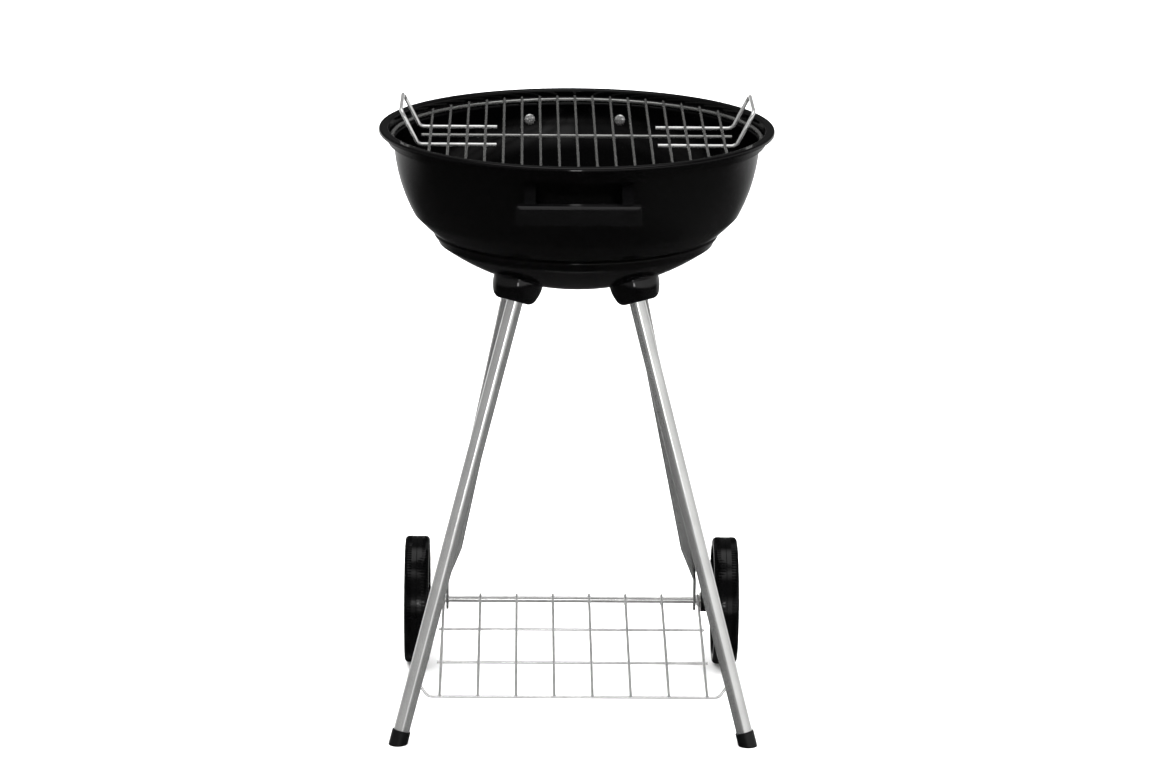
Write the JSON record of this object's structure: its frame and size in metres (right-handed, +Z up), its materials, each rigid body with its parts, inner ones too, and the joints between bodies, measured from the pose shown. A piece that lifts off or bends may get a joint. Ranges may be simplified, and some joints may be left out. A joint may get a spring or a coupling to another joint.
{
  "type": "kettle charcoal grill",
  "caption": "Kettle charcoal grill: an open enamelled bowl with wire grates on splayed tube legs, with wheels at the rear, feet at the front and a wire rack below.",
  "frame": {"origin": "on the ground, under the centre of the bowl", "axes": "+Z up, -Y towards the front with the feet, +X to the right as seen from the front, along the axle"},
  "size_m": [0.46, 0.53, 0.7352],
  "materials": {
    "black_enamel": "gloss",
    "bright_steel": "polished",
    "satin_tube": "satin",
    "cooking_wire": "satin",
    "plain_steel": "satin",
    "zinc_steel": "satin",
    "handle_plastic": "semi-gloss",
    "socket_plastic": "gloss",
    "wheel_plastic": "semi-gloss",
    "foot_plastic": "satin"
  },
  "bodies": {
    "stand_and_bowl": {"bowl": "black_enamel", "damper_rivet": "plain_steel", "handle_front": "handle_plastic", "handle_rear": "handle_plastic", "handle_screws_front": "bright_steel", "handle_screws_rear": "bright_steel", "socket_front_left": "socket_plastic", "socket_front_right": "socket_plastic", "socket_rear_left": "socket_plastic", "socket_rear_right": "socket_plastic", "socket_bolts": "zinc_steel", "leg_plugs": "zinc_steel", "leg_front_left": "satin_tube", "leg_front_right": "satin_tube", "leg_rear_left": "satin_tube", "leg_rear_right": "satin_tube", "foot_cap_left": "foot_plastic", "foot_cap_right": "foot_plastic", "axle": "bright_steel", "axle_washers": "zinc_steel", "axle_nuts": "zinc_steel", "wire_rack": "bright_steel"},
    "cooking_grate": {"cooking_grate": "cooking_wire", "grate_handle_left": "bright_steel", "grate_handle_right": "bright_steel"},
    "charcoal_grate": {"charcoal_grate": "plain_steel"},
    "damper": {"damper_disc": "plain_steel"},
    "wheel_left": {"wheel_left": "wheel_plastic"},
    "wheel_right": {"wheel_right": "wheel_plastic"}
  },
  "joints": [
    {"name": "cooking_grate_lift", "type": "slide", "parent": "stand_and_bowl", "child": "cooking_grate", "axis": [0, 0, 1], "range_m": [0, 0.15]},
    {"name": "charcoal_grate_lift", "type": "slide", "parent": "stand_and_bowl", "child": "charcoal_grate", "axis": [0, 0, 1], "range_m": [0, 0.095]},
    {"name": "damper_turn", "type": "hinge", "parent": "stand_and_bowl", "child": "damper", "pos_m": [0, 0, 0.5185], "axis": [0, 0, 1], "range_deg": [0, 45]},
    {"name": "wheel_left_spin", "type": "hinge", "parent": "stand_and_bowl", "child": "wheel_left", "pos_m": [-0.189, 0.155, 0.078], "axis": [1, 0, 0], "continuous": true},
    {"name": "wheel_right_spin", "type": "hinge", "parent": "stand_and_bowl", "child": "wheel_right", "pos_m": [0.189, 0.155, 0.078], "axis": [1, 0, 0], "continuous": true}
  ]
}
